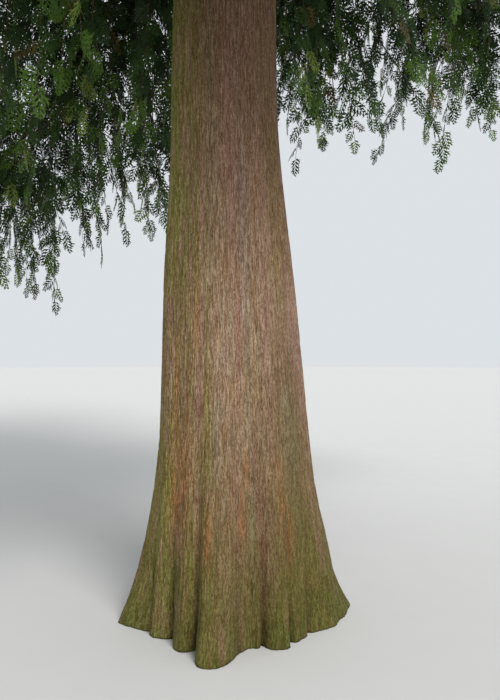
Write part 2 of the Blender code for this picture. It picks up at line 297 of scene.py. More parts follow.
class Shader:
    # One material: its nodes, its Principled shader and its output.
    def __init__(self, name, roughness=0.9):
        self.material = bpy.data.materials.new(name)
        self.material.use_nodes = True
        self.nodes = self.material.node_tree.nodes
        self.links = self.material.node_tree.links
        self.surface = self.nodes["Principled BSDF"]
        self.surface.inputs["Roughness"].default_value = roughness
        self.surface.inputs["Specular IOR Level"].default_value = 0.25

    def node(self, kind, settings, values, output=0):
        # Settings go first, then each socket gets its value or its link.
        made = self.nodes.new(kind)
        for name, setting in settings.items():
            setattr(made, name, setting)
        for name, value in values.items():
            self.feed(made.inputs[name], value)
        return Wire(self, made.outputs[output])

    def feed(self, socket, value):
        # Links a wire to the socket, or else sets its value.
        if isinstance(value, Wire):
            self.links.new(value.socket, socket)
        elif socket.type == "RGBA":
            socket.default_value = (*value, 1)
        else:
            socket.default_value = value

    def position(self):
        return self.node("ShaderNodeTexCoord", {}, {}, "Object")

    def attribute(self, name, output="Fac"):
        return self.node("ShaderNodeAttribute", {"attribute_name": name}, {}, output)

    def vector(self, operation, values):
        return self.node("ShaderNodeVectorMath", {"operation": operation}, values)

    def brightened(self, colour, factor):
        return self.vector("SCALE", {0: colour, "Scale": factor})

    def lifted(self, colour, amount):
        # Lighter or darker by an even step to the eye: (colour^(1 / 2.2) + amount)^2.2.
        seen = self.node("ShaderNodeGamma", {}, {"Color": colour, "Gamma": 1 / 2.2})
        seen = self.vector("ADD", {0: seen, 1: amount})
        return self.node("ShaderNodeGamma", {}, {"Color": seen, "Gamma": 2.2})

    def noise(self, vector, scale, detail):
        values = {"Vector": vector, "Scale": scale, "Detail": detail}
        return self.node("ShaderNodeTexNoise", {}, values, "Fac")

    def grained(self, cells, detail):
        # Noise along the mesh's own grain, a vector that runs straight up the flared trunk or the limb.
        grain = self.attribute("grain", "Vector")
        return self.noise(self.vector("MULTIPLY", {0: grain, 1: cells}), 1.0, detail)

    def steps(self, value, low, high):
        # Rises smoothly from 0 to 1 as the value goes from low to high.
        settings = {"interpolation_type": "SMOOTHSTEP"}
        return self.node("ShaderNodeMapRange", settings, {"Value": value, "From Min": low, "From Max": high})

    def mix(self, first, second, factor, mode="MIX"):
        # From the first colour to the second as the factor goes from 0 to 1, or the first times the second.
        settings = {"data_type": "RGBA", "blend_type": mode}
        return self.node("ShaderNodeMix", settings, {"Factor": factor, 6: first, 7: second}, 2)

    def finish(self, colour, height=None, distance=0.01):
        # Colours the surface. A height makes fine relief in the shading, up to a distance in metres.
        self.feed(self.surface.inputs["Base Color"], colour)
        if height is not None:
            values = {"Height": height, "Distance": distance, "Strength": 0.6}
            self.feed(self.surface.inputs["Normal"], self.node("ShaderNodeBump", {}, values))
        return self.material


def tint(*screen):
    # Linear colour from the usual 0 to 255 screen values, from 11 up.
    return tuple(((value / 255 + 0.055) / 1.055) ** 2.4 for value in screen)


# Shade is painted shade of the crown, and furrow is dark inner bark with painted shade.
barkColours = {
    "rose": tint(157, 123, 108), "brown": tint(151, 119, 92), "ash": tint(148, 128, 116),
    "olive": tint(136, 118, 66), "moss": tint(112, 112, 54), "rust": tint(168, 110, 71),
    "plum": tint(139, 93, 88), "furrow": tint(88, 62, 40), "shade": tint(98, 73, 54),
    "darkFootAndShade": tint(180, 184, 158),
}

barkStains = {  # where a pattern begins to show the colour, where it shows it in full, and how strongly
    "rose": (0.2, 0.8, 1.0), "ash": (0.46, 0.76, 0.8), "olive": (0.3, 0.62, 1.0),
    "moss": (0.35, 0.58, 1.0), "plum": (0.35, 0.6, 0.75), "rust": (0.38, 0.62, 0.9),
}

barkFibres = {  # noise cells to a metre round the trunk and up it, then how strongly each shows
    "strand": (125, 125, 7), "fibre": (165, 165, 28), "hair": (260, 260, 70), "patch": (40, 40, 4),
    "strands": 0.34, "dashes": 0.64, "hairs": 0.72, "contrast": 0.22, "range": (0.34, 0.66),
    "furrows": 0.38, "cracks": 0.3, "crackRange": (0.42, 0.28), "darkSoftening": 0.22, "shading": 0.74,
    "paling": 0.6,
}

woodColours = {
    "boughDark": tint(84, 64, 48), "boughLight": tint(134, 108, 88), "boughFurrow": tint(48, 37, 28),
    "twigDark": tint(62, 47, 34), "twigLight": tint(110, 86, 60),
}


def trunkBark():
    # Brown takes rose and ash in patches, then the stains that the mesh asks for, painted light and shade
    # on the sides, short bright and dark dashes, and hollows of dark inner bark and painted shade. Last it
    # gets painted shade of the crown high up, and a darker tint at the foot with painted shade on the right.
    c, f = barkColours, barkFibres
    s = Shader("trunkBark", 0.92)
    hue, moss = s.attribute("hue"), s.attribute("moss")
    strand, fibre = s.grained(f["strand"], 2), s.grained(f["fibre"], 2)
    hair, patch = s.grained(f["hair"], 1), s.grained(f["patch"], 3)

    def stained(colour, name, pattern, amount):
        # Mixes a colour in by steps(pattern) x strength x amount.
        low, high, strength = barkStains[name]
        return s.mix(colour, c[name], s.steps(pattern, low, high) * strength * amount)

    # Rose and ash show less where the painted shade of the crown lies.
    pale = 1 - s.attribute("upper") * f["paling"]
    colour = stained(c["brown"], "rose", 0.8 * hue + patch, pale)
    colour = stained(colour, "ash", patch - 0.5 * hue, pale)
    pattern = 0.8 * patch + 0.2 * strand - 0.15 * hue + 0.1 * moss
    colour = stained(colour, "olive", pattern, s.attribute("olive"))
    colour = stained(colour, "moss", 0.8 * patch + 0.2 * fibre, moss)
    colour = stained(colour, "plum", 0.6 * patch + 0.4 * strand, s.attribute("plum"))
    colour = stained(colour, "rust", 0.7 * strand + 0.3 * hair, s.attribute("rust"))
    strands = s.steps(strand, *f["range"]) * f["strands"]
    dashes = s.steps(0.15 * s.attribute("tone") + fibre, *f["range"]) * f["dashes"]
    hairs = s.steps(hair, *f["range"]) * f["hairs"]
    middle = 0.5 * (f["strands"] + f["dashes"] + f["hairs"])
    soft = 1 - s.attribute("darkFootAndShade") * f["darkSoftening"]
    # Painted light on the left side and foot, and painted shade on the right edge and waist.
    colour = s.brightened(colour, s.attribute("light"))
    colour = s.lifted(colour, (strands + dashes + hairs - middle) * soft * f["contrast"])
    # Furrows, clefts and cracks take the dark inner bark colour, with painted shade in these hollows.
    cracks = s.steps(strand, *f["crackRange"]) * f["cracks"]
    hollow = (s.attribute("furrow") * f["furrows"] + cracks) * soft
    colour = s.mix(colour, c["furrow"], hollow.clamped())
    # Painted shade of the crown, growing from about 1.85 m up the trunk.
    colour = s.mix(colour, c["shade"], s.attribute("upper") * f["shading"], "MULTIPLY")
    # Darker towards the foot, with painted shade on the right side.
    colour = s.mix(colour, c["darkFootAndShade"], s.attribute("darkFootAndShade"), "MULTIPLY")
    return s.finish(colour, 0.4 * strand + 0.4 * fibre + 0.2 * hair)


def boughBark():
    # Fibres along the limb in dark and light wood, with furrows of darker bark and painted shade.
    c = woodColours
    s = Shader("boughBark", 0.9)
    fibre = s.grained((120, 120, 9), 3)
    colour = s.mix(c["boughDark"], c["boughLight"], s.steps(fibre, 0.35, 0.68))
    colour = s.mix(colour, c["boughFurrow"], s.attribute("furrow") * 0.7)
    return s.finish(colour, fibre, 0.006)


def twigBark():
    # Small patches of dark and light wood.
    s = Shader("twigBark", 0.85)
    patch = s.noise(s.position(), 60.0, 2)
    return s.finish(s.mix(woodColours["twigDark"], woodColours["twigLight"], s.steps(patch, 0.35, 0.65)))


def sprayLeaf(name, colour):
    # One colour for the spray, a little lighter and darker from leaf to leaf.
    s = Shader(name, 0.55)
    patch = s.noise(s.position(), 45.0, 2)
    return s.finish(s.brightened(colour, patch * 1.1 + 0.45))


sprayColours = {
    "deepSpray": tint(33, 54, 22), "midSpray": tint(50, 77, 29), "freshSpray": tint(80, 110, 40),
    "paleSpray": tint(114, 134, 60), "bronzeSpray": tint(92, 80, 42),
}

trunkFinish = trunkBark()
boughFinish = boughBark()
twigFinish = twigBark()
sprayFinishes = [sprayLeaf(name, colour) for name, colour in sprayColours.items()]
print("materials made")


# Trunk in three lengths: fine mesh where it is seen close, coarser mesh above

trunkLengths = {  # lower end, upper end, rows up it and columns round it
    "trunkFoot": (0, 1.6, 108, 900), "trunkLower": (1.6, 4.4, 108, 900),
    "trunkUpper": (4.4, trunk["top"], 300, 300),
}
tuck = {"height": 0.05, "depth": 0.009}

# Directions are angles from +X in degrees, and so are half widths
footShaping = (  # direction, change of radius at the ground, half width: blunt and hollow roots
    (190, -0.03, 10), (221, -0.09, 8), (238, -0.03, 8), (246, -0.05, 4), (252, 0.035, 5), (260, -0.035, 6),
    (280, -0.075, 8), (298, -0.06, 9), (318, -0.10, 10), (336, -0.05, 9), (349, -0.11, 9), (357, -0.09, 7),
    (14, 0.07, 22), (17, 0.08, 9),
)
sideShaping = (  # direction, change of radius, half width, height, half length: uneven sides
    (0, -0.042, 60, 2.95, 0.75), (184, 0.015, 45, 2.1, 0.45), (184, 0.012, 45, 3.5, 0.6),
    (188, -0.014, 30, 1.0, 0.4), (355, 0.03, 26, 0.42, 0.28),
)
rootGrooves = (  # direction, depth at the ground: the narrow clefts between the roots
    (203, 0.03), (222, 0.04), (247, 0.045), (272, 0.02), (290, 0.045), (310, 0.045), (331, 0.035),
    (42, 0.035), (74, 0.03), (104, 0.035), (135, 0.03), (168, 0.03),
)
grooveForms = ((2.0, 0.32, 1.0, 1.1), (5.0, 0.5, 0.5, 0.3))  # half width, height, share of depth, shade
knots = ((258, 3.32, 0.05), (240, 3.36, 0.035), (266, 2.62, 0.03))  # direction, height, size

rustStreaks = (  # direction, half width, height, half length: where the bark has shed
    (225, 7.5, 0.80, 0.28), (235, 4.5, 0.90, 0.3), (255, 3.0, 0.62, 0.16), (281, 1.8, 0.95, 0.12),
    (276, 2.8, 0.74, 0.16), (306, 3.6, 0.86, 0.22), (222, 2.2, 1.30, 0.26), (243, 1.4, 1.75, 0.2),
    (312, 4.0, 0.58, 0.15), (38, 3.6, 0.9, 0.3), (112, 3.2, 1.2, 0.35), (160, 3.0, 0.7, 0.25),
)
plumStreaks = (
    (286, 1.8, 1.00, 0.14), (290, 2.8, 0.74, 0.22), (290, 2.4, 0.38, 0.2), (277, 2.2, 1.7, 0.3),
    (246, 2.2, 1.36, 0.16), (70, 2.5, 1.0, 0.4),
)
oliveStreaks = (
    (252, 5.5, 1.15, 0.55), (235, 4.5, 1.45, 0.35), (242, 7.0, 2.1, 0.3), (20, 6.0, 1.3, 0.6),
    (130, 5.0, 1.5, 0.7),
)
trunkZones = {  # direction, half width, height, half length: soft zones that the colours are mixed by
    "leftSide": (205, 40, 0, math.inf), "leftEdge": (196, 40, 0, math.inf), "leftFoot": (206, 23, 0.75, 0.45),
    "leftHigh": (234, 16, 3.05, 0.3), "leftLow": (228, 15, 0.42, 0.15), "rightSide": (325, 35, 1.3, 0.7),
    "rightHigh": (332, 42, 0, math.inf), "rightEdge": (318, 24, 2.95, 0.3), "rightWaist": (318, 24, 1.6, 0.4),
    "ground": (0, math.inf, 0, 0.75), "foot": (0, math.inf, 0, 1.15),
}


def zone(place, angle, z):
    # A soft bell on the trunk's side, long or wide without end where its half width is infinite.
    direction, halfWidth, height, halfLength = place
    return bell(turnFrom(direction, angle) / halfWidth, (z - height) / halfLength)


def streaks(places, angle, z):
    # 1.3 times the sum of narrow zones, and one at most.
    return np.clip(1.3 * sum(zone(place, angle, z) for place in places), 0, 1)


def rising(z, start, climb):
    # From 0 at one height up to 1 over the climb above it.
    return np.clip((z - start) / climb, 0, 1)


def shaped(radius, furrow, angle, z):
    # Adds change bell(angle) exp(-z / decay) at the foot and a zone of change on each uneven side. A groove
    # is a cleft and a wide valley round it, both dark with painted shade. A knot is a dome within a sunk
    # ring.
    fade = np.exp(-z / trunk["rootDecay"])
    for direction, change, halfWidth in footShaping:
        radius = radius + change * bell(turnFrom(direction, angle) / halfWidth) * fade
    for direction, change, *extent in sideShaping:
        radius = radius + change * zone((direction, *extent), angle, z)
    for direction, depth in rootGrooves:
        for halfWidth, height, share, shade in grooveForms:
            form = bell(turnFrom(direction, angle) / halfWidth) * np.exp(-z / height)
            radius = radius - depth * share * form
            furrow = furrow + shade * form
    for direction, height, size in knots:
        off = np.radians(turnFrom(direction, angle)) * 0.33  # metres round a trunk of that radius
        near = np.hypot(off, (z - height) * 0.8) / size
        radius = radius + 0.012 * bell(near) - 0.01 * bell((near - 1.2) / 0.3)
    return radius, np.clip(furrow, 0, 1.6)


def trunkStains(angle, z):
    # What the bark's colours are mixed by: each is a sum of zones, from 0 to 1 but for the light.
    at = {name: zone(place, angle, z) for name, place in trunkZones.items()}
    high, top = rising(z, 1.6, 0.5), rising(z, 3.2, 0.5)
    leftSide, leftEdge = at["leftSide"], at["leftEdge"] * rising(z, 1.9, 0.5)
    patches = stripNoise(angle / 360, z / 1.1, 18, 41)
    olive = leftSide * (0.95 + 0.4 * top) + at["ground"] + 0.6 * at["rightHigh"] * high
    olive = olive + 0.3 * at["rightSide"] + 0.6 * streaks(oliveStreaks, angle, z) + 0.25 * patches
    moss = np.exp(-z / 0.28) * (1.05 + 0.25 * patches) + 0.7 * at["leftFoot"] + 0.6 * at["leftLow"]
    moss = moss + 0.6 * leftEdge + 0.35 * leftSide * high
    # Painted shade of the crown: from 1.85 m up, easing above 4.2 m, and less on the left side.
    upper = (1 - np.exp(-np.clip(z - 1.85, 0, 9) / 0.9)) * (1 - 0.4 * rising(z, 4.2, 1.5))
    # Darker towards the foot and less so on the left, with painted shade on the right side.
    darkFootAndShade = at["foot"] * (1.1 - 0.45 * leftSide) + 0.4 * at["rightSide"]
    # Painted light on the left side and foot, and painted shade on the right edge and waist.
    light = 1 + 0.24 * (leftEdge + at["leftFoot"]) + 0.16 * at["leftHigh"]
    return {
        "olive": np.clip(olive, 0, 1), "moss": np.clip(moss, 0, 1), "darkFootAndShade": np.clip(darkFootAndShade, 0, 1),
        "upper": upper * (1 - 0.22 * leftSide - 0.65 * leftEdge),
        "light": light - 0.13 * (at["rightEdge"] + at["rightWaist"]),
        "rust": streaks(rustStreaks, angle, z), "plum": streaks(plumStreaks, angle, z),
    }


def trunkPiece(name, low, high, rows, columns):
    # A closed skin: points at axis + outward (radius + relief), rows up the trunk, columns round it.
    # At a joint it goes on for one row, tucked in under the next length, so that the shading runs on.
    below, above = [low - tuck["height"]] * (low > 0), [high + tuck["height"]] * (high < trunk["top"])
    heights = np.concatenate([below, np.linspace(low, high, rows), above])
    z, angle = np.meshgrid(heights, 360 * np.arange(columns) / columns, indexing="ij")
    relief, furrow, tone, hue = barkSurface(angle / 360, z)
    radius = trunkRadius(z, angle) + relief * np.clip(stemRadius(z) / 0.35, 0.25, 1.1)
    radius = radius - tuck["depth"] * ((z < low) | (z > high))
    radius, furrow = shaped(radius, furrow, angle, z)
    outward = unit(angle)
    points = trunkAxis(z) + scaled(outward, radius)
    grain = 0.45 * outward + scaled(up, z)
    attributes = {"grain": grain, "furrow": furrow, "tone": tone, "hue": hue, **trunkStains(angle, z)}
    piece = makeMesh(name, points, tubeFaces(1, len(heights), columns), [trunkFinish], attributes)
    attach(piece, "root")
    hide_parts("trunk")


for name, extent in trunkLengths.items():
    trunkPiece(name, *extent)
print("trunk made")


# Boughs

bough = {
    "radius": 0.062, "tip": 0.009, "taper": 0.8, "sides": 16, "rings": 44, "end": 0.985, "grainTurn": 0.06,
    "collar": 0.8, "collarReach": 0.09, "barkScale": 0.22, "barkSeed": 60,
}
inner = {"from": -0.5, "count": 36, "reach": 0.56, "radius": 0.5, "overlap": 0.5, "rings": 24, "sides": 8}


class Bough:
    # The line of one bough, from inside the trunk (0) to its tip (1), as in the source. Small inner
    # boughs follow the same rule on the half steps of its spiral, between the boughs of the masses.
    def __init__(self, index, chance, isInner=False):
        t = tree
        share = 1 - (1 - index / t["masses"]) ** t["spiralPower"]
        self.index = index
        self.isInner = isInner
        self.number = f"{math.ceil(index) + 1:02d}"
        self.hasLimb = index < t["boughs"]
        self.nodes = ["foliage_" + self.number] + ["bough_" + self.number] * self.hasLimb
        turn = t["spiralStart"] + t["spiralTurn"] * index
        self.turn = turn + chance.uniform(-t["turnJitter"], t["turnJitter"])
        self.sweep = chance.uniform(-t["sideSweep"], t["sideSweep"])
        highSide = 0.5 + 0.5 * math.cos(math.radians(self.turn - t["highSide"]))
        lift = t["highSideLift"] * highSide * (1 - share) ** 4
        self.foot = blend(t["crownBase"], t["crownTop"], share) + lift
        uneven = chance.uniform(-t["reachJitter"], t["reachJitter"])
        self.size = (1 - share) ** t["crownPower"] * (1 + uneven)
        self.reach = t["crownRadius"] * self.size * (inner["reach"] if isInner else 1)
        share = max(0.0, share)
        self.pitch = blend(*t["pitch"], share**0.8)
        self.sag = blend(*t["sag"], share)
        self.upturn = blend(*t["upturn"], share)
        self.thickness = bough["radius"] * self.size**0.7 * (inner["radius"] if isInner else 1)
        self.limb = self.point(np.linspace(0, 1, 50))
        self.middle = self.limb - t["hang"] * self.size * up  # the mass hangs below its bough

    def point(self, u):
        # Out at reach u, up by reach (pitch u - sag u^2 + upturn u^4), swept sideways as u^2.
        u = np.asarray(u, float)
        rise = self.reach * (self.pitch * u - self.sag * u**2 + self.upturn * u**4)
        level = scaled(unit(self.turn + self.sweep * u * u), self.reach * u)
        return trunkAxis(self.foot) + level + scaled(up, rise)

    def direction(self, u):
        # The way the line runs at u, from two points close by.
        return normalised(self.point(u + 0.01) - self.point(u - 0.01))


chance = random.Random(tree["seed"])
boughLines = [Bough(index, chance) for index in range(tree["masses"])]
innerLines = [Bough(inner["from"] + step, chance, True) for step in range(inner["count"])]


def boughPiece(line):
    # A limb, closed at both ends: radius = taper (1 + collar bell(distance beyond the trunk) + bark relief).
    b = bough
    along = np.linspace(0.0, b["end"], b["rings"])
    u, turn = np.meshgrid(along, np.arange(b["sides"]) / b["sides"], indexing="ij")
    out = line.reach * u
    place = turn * 0.2 + line.index * 0.37  # a strip of the trunk's bark, another one for each limb
    relief, furrow, _, _ = barkSurface(place, out * 1.6, b["barkScale"], b["barkSeed"])
    beyond = (out - stemRadius(line.foot)).clip(0)
    swelling = 1 + b["collar"] * bell(beyond / b["collarReach"]) + relief / 0.05
    radius = blend(line.thickness, b["tip"], u ** b["taper"]) * swelling
    points = tubePoints(line.point(along)[None], radius[None])
    grain = b["grainTurn"] * unit(360 * turn) + scaled(up, out)
    faces = tubeFaces(1, b["rings"], b["sides"])
    attributes = {"grain": grain, "furrow": furrow}
    number = line.number
    piece = makeMesh("boughBark" + number, points, faces, [boughFinish], attributes)
    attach(piece, "root")
    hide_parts("foliage_" + number, *["bough_" + number] * line.hasLimb)


for line in boughLines:
    boughPiece(line)
print("boughs made")


# Which part of the crown belongs to each mass

class Space:
    # As in the source, the part nearer to its own middle line than to any other. The fine foliage may
    # pass a little way into its neighbours' parts, as real foliage does, but not out of its solid's box.
    def __init__(self, lines):
        self.limbs = np.array([line.limb for line in lines])
        self.middles = np.array([line.middle for line in lines])
        self.boxes = []
        for line in lines:
            corners = np.array([[list(corner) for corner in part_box(name)] for name in line.nodes])
            margin = tree["boxMargin"]
            self.boxes.append((corners[:, 0].min(0) - margin, corners[:, 1].max(0) + margin))
        lows, highs = zip(*self.boxes)
        self.crownBox = (np.min(lows, 0), np.max(highs, 0))

    @staticmethod
    def nearest(points, lines):
        # Least distance from each point to each line: rows are lines, columns are points.
        flat = lines.reshape(-1, 3)
        squares = (points**2).sum(1)[:, None] + (flat**2).sum(1)[None, :] - 2 * points @ flat.T
        least = np.maximum(squares, 0).reshape(len(points), len(lines), -1).min(2)
        return np.sqrt(least).T

    def holds(self, line, paths):
        # One answer for each path of (paths, points, 3): true if every point of it keeps to the space.
        # An inner bough keeps to the gap round its own line, and reaches further into its neighbours.
        points = paths.reshape(-1, 3)
        own = self.nearest(points, line.middle[None])[0]
        others = np.arange(len(self.limbs)) != line.index
        overlap = inner["overlap"] if line.isInner else tree["overlap"]
        good = (self.nearest(points, self.middles[others]) >= own - overlap).all(0)
        good &= (self.nearest(points, self.limbs[others]) >= tree["limbMargin"]).all(0)
        low, high = self.crownBox if line.isInner else self.boxes[line.index]
        good &= ((points >= low) & (points <= high)).all(1)
        level = np.hypot(*(points - trunkAxis(points[:, 2]))[:, :2].T)
        good &= level > stemRadius(points[:, 2]) + tree["trunkMargin"]
        # Nothing hangs in front of the trunk's foot: the photo shows it bare.
        width, height = tree["bareFront"]
        good &= (points[:, 2] > height) | (points[:, 1] > 0) | (np.abs(points[:, 0]) > width)
        return good.reshape(paths.shape[:2]).all(1)

    def fitted(self, line, roots, ends, first):
        # Lengths shrink by the rule's steps until the path keeps to the space, else become zero.
        lengths = np.zeros(len(roots))
        for shrink in tree["shrinks"]:
            left = np.flatnonzero(lengths == 0)
            if len(left):
                steps = np.linspace(first, 1, 7)[None, :, None]
                paths = roots[left, None, :] + steps * shrink * (ends - roots)[left, None, :]
                lengths[left[self.holds(line, paths)]] = shrink
        return lengths


space = Space(boughLines)


# Twigs and hanging branchlets of a mass

twigs = {
    "spacing": 0.17, "first": 0.15, "last": 0.97, "angle": 58.0, "turns": (-9, 9), "share": 0.42,
    "lengths": (0.78, 1.12), "droop": 0.3, "bend": 1.4, "radius": 0.011,
}

branchlets = {
    "length": 1.27, "least": 0.5, "power": 0.35, "sag": 0.1, "bend": 2, "radius": 0.0045,
    "bareShare": 0.06, "bareRadius": 1.9, "bareLength": 0.72,
}
hangingRules = {  # fall and face: at the root and at the tip. Other pairs: least and greatest
    "twig": {
        "spacing": 0.16, "turns": (8, 42), "turnEnd": 1.1, "fall": (0.92, 0.5), "fallPower": 1.5,
        "fallUneven": (-0.1, 0.06), "face": (85, 35), "facePower": 1, "faceUneven": (-35, 35),
        "lengths": (0.5, 1.08),
    },
    "bough": {
        "spacing": 0.14, "turns": (-55, 55), "turnEnd": 1.05, "fall": (0.95, 0.35), "fallPower": 4,
        "fallUneven": (-0.05, 0.04), "face": (70, 10), "facePower": 3, "faceUneven": (-30, 30),
        "lengths": (0.6, 1.08),
    },
}

sprays = {
    "spacing": 0.071, "length": 0.22, "upperSpacing": 0.106, "upperLength": 0.32, "most": 190000,
    "detailed": (-0.5, 0, 0.5, 2, 5), "angle": 52.0, "leans": (-18, 18), "endLeans": (-12, 12), "droop": 0.22,
    "rolls": (-50, 50), "lengths": (0.62, 1.2), "fullCarrier": 0.5, "toneSteps": (0.22, 0.7, 1.06),
    "bronzeShare": 0.025, "crestFrom": 0.28, "crestStep": 0.5,
}


def hanging(heading, fall):
    # Between a level heading (0) and straight down (1).
    fall = np.asarray(fall)[..., None]
    return normalised(heading * (1 - fall) - up * fall)


def placesAlong(lengths, spacing, least, chance):
    # For each line, evenly spaced places with a little scatter: the line's number, the order on it, the
    # share of its length, and whether the place is its last.
    per = np.maximum(least, np.round(lengths / spacing).astype(int))
    owner = np.repeat(np.arange(len(lengths)), per)
    order = np.arange(len(owner)) - np.repeat(np.cumsum(per) - per, per)
    place = (order + 0.6 + chance.uniform(-0.25, 0.25, len(owner))) / per[owner]
    return owner, order, np.clip(place, 0.05, 0.99), order == per[owner] - 1


def sagging(start, direction, long, place, sag, bend):
    # A point at a share of a line that sags as share^bend below its straight course.
    point = start + scaled(direction, long * place)
    point[..., 2] -= sag * long * place**bend
    return point


def saggingLines(start, direction, long, points, sag, bend):
    # Whole lines of such points, evenly spaced.
    share = np.linspace(0, 1, points)[None, :]
    return sagging(start[:, None, :], direction[:, None, :], long[:, None], share, sag, bend)


def growTwigs(line, chance):
    # Side twigs leave the bough left and right in turn, shorter near the trunk and the tip.
    # Returns each one's root, heading, length and side.
    t = twigs
    count = max(7, round(line.reach * (t["last"] - t["first"]) / t["spacing"]))
    share = np.linspace(0, 1, count)
    u = blend(t["first"], t["last"], share)
    side = np.where(np.arange(count) % 2, 1.0, -1.0)
    heading = unit(headingOf(line.direction(u)) + side * (t["angle"] + chance.uniform(*t["turns"], count)))
    closeIn = np.clip(0.45 + 2.2 * share, 0, 1)
    length = line.reach * t["share"] * (1 - share / 2) * closeIn * chance.uniform(*t["lengths"], count)
    root = line.point(u)
    shrink = space.fitted(line, root, sagging(root, heading, length, 1.0, t["droop"], 1), 0.2)
    keep = shrink > 0
    return root[keep], heading[keep], (length * shrink)[keep], side[keep]


def hungFrom(rule, ahead, turnSide, faceSide, place, size, chance):
    # Headings, falls, turns of the flat face and lengths of branchlets at places along their carrier.
    count = len(place)
    turn = turnSide * chance.uniform(*rule["turns"], count) * (rule["turnEnd"] - place)
    fall = blend(*rule["fall"], place ** rule["fallPower"]) + chance.uniform(*rule["fallUneven"], count)
    face = faceSide * blend(*rule["face"], place ** rule["facePower"])
    face = face + chance.uniform(*rule["faceUneven"], count)
    return unit(headingOf(ahead) + turn), fall, face, size * chance.uniform(*rule["lengths"], count)


def growBranchlets(line, twigSet, chance):
    # Branchlets hang from the twigs and the bough, more level towards their ends. Returns each one's
    # root, direction, way across its face, length, and if it is leafy.
    t, b, rules = twigs, branchlets, hangingRules
    root, heading, length, side = twigSet
    size = b["length"] * max(b["least"], line.size ** b["power"])
    owner, order, place, _ = placesAlong(length, rules["twig"]["spacing"], 2, chance)
    turnSide = np.where(order % 2, 1, -1)
    fromTwigs = hungFrom(rules["twig"], heading[owner], turnSide, side[owner], place, size, chance)
    onTwigs = sagging(root[owner], heading[owner], length[owner], place, t["droop"], t["bend"])
    count = max(6, round(line.reach * (1.0 - t["first"]) / rules["bough"]["spacing"]))
    u = blend(t["first"], bough["end"], np.linspace(0, 1, count))
    fromBough = hungFrom(rules["bough"], line.direction(u), 1, 1, u, size, chance)
    start = np.concatenate([onTwigs, line.point(u)])
    towards, fall, face, long = [np.concatenate(both) for both in zip(fromTwigs, fromBough)]
    direction = hanging(towards, fall)
    shrink = space.fitted(line, start, start + scaled(direction, long), 0.15)
    keep = shrink > 0
    start, direction, long, face = start[keep], direction[keep], (long * shrink)[keep], face[keep]
    across = turned(*acrossOf(direction), np.radians(face))
    leafy = chance.uniform(0, 1, len(long)) > b["bareShare"]
    return start, direction, across, long * np.where(leafy, 1.0, b["bareLength"]), leafy


def growSprays(line, twigSet, branchletSet, chance):
    # Sprays along the leafy branchlets, then along the twigs and on the bough itself, lying level.
    t, b = twigs, branchlets
    upper = line.index not in sprays["detailed"]
    start, direction, across, long, leafy = branchletSet
    carriers = [values[leafy] for values in (start, direction, direction, across, long)]
    hung = placeSprays(*carriers, b["sag"], b["bend"], upper, chance)
    root, heading, length, _ = twigSet
    sloping = normalised(heading - 0.4 * up)
    across = acrossOf(heading)[0]
    lying = placeSprays(root, heading, sloping, across, length, t["droop"], t["bend"], upper, chance)
    stretches = max(3, round(line.reach / sprays["crestStep"]))
    joints = line.point(np.linspace(sprays["crestFrom"], 0.99, stretches + 1))
    course = joints[1:] - joints[:-1]
    long = np.linalg.norm(course, axis=1)
    course = normalised(course)
    crest = placeSprays(joints[:-1], course, course, acrossOf(course)[0], long, 0.0, 1, upper, chance)
    return {key: np.concatenate([hung[key], lying[key], crest[key]]) for key in hung}


def growMass(line, chance):
    # One mass: lines and radii of its twigs, then of its branchlets, and its sprays' places.
    t, b = twigs, branchlets
    twigSet = growTwigs(line, chance)
    branchletSet = growBranchlets(line, twigSet, chance)
    places = growSprays(line, twigSet, branchletSet, chance)
    twigLines = saggingLines(*twigSet[:3], 6, t["droop"], t["bend"])
    twigRadii = np.full(len(twigLines), t["radius"] * max(0.5, line.size))
    start, direction, _, long, leafy = branchletSet
    branchletLines = saggingLines(start, direction, long, 4, b["sag"], b["bend"])
    branchletRadii = b["radius"] * np.where(leafy, 1.0, b["bareRadius"])
    return (twigLines, twigRadii, branchletLines, branchletRadii), places


def placeSprays(start, course, direction, across, long, sag, bend, upper, chance):
    # Sprays left and right in turn along each line, leaning forward, and one that ends it. Those near
    # the ends are shorter, and fresher and paler but for lines that are dim as a whole.
    s = sprays
    owner, order, place, last = placesAlong(long, s["upperSpacing" if upper else "spacing"], 3, chance)
    count = len(owner)
    side = np.where(order % 2, 1.0, -1.0)
    lean = s["angle"] * (1.1 - 0.45 * place) + chance.uniform(*s["leans"], count)
    lean = np.radians(np.where(last, chance.uniform(*s["endLeans"], count), lean))
    root = sagging(start[owner], course[owner], long[owner], place, sag, bend)
    heading = normalised(turned(direction[owner], across[owner], side * lean) - s["droop"] * up)
    normal = normalised(np.cross(direction[owner], across[owner]))
    roll = np.radians(chance.uniform(*s["rolls"], count))
    flat = normalised(np.cross(normal, heading))
    width = turned(flat, np.cross(heading, flat), roll)
    length = s["upperLength" if upper else "length"] * blend(1.0, 0.75, place)
    length = length * chance.uniform(*s["lengths"], count) * np.minimum(1.0, long[owner] / s["fullCarrier"])
    fresh = place + chance.uniform(-0.45, 0.45, count)
    dim = chance.uniform(0, 1, len(long))[owner] * 0.5
    tone = np.digitize(fresh - dim, s["toneSteps"])
    tone = np.where(chance.uniform(0, 1, count) < s["bronzeShare"], 4, tone)
    return {"root": root, "heading": heading, "width": width, "length": length, "tone": tone}


def lances(root, along, long, half, waist):
    # Narrow four-cornered leaves: root, right, tip, left, widest at a share of their length.
    normal = np.stack([-along[:, 1], along[:, 0]], -1) * half[:, None]
    middle = root + along * (waist * long)[:, None]
    corners = np.stack([root, middle - normal, root + along * long[:, None], middle + normal], 1)
    first = 4 * np.arange(len(root))[:, None]
    faces = np.concatenate([first + np.array([0, 1, 2]), first + np.array([0, 2, 3])], 1).reshape(-1, 3)
    return corners.reshape(-1, 2), faces


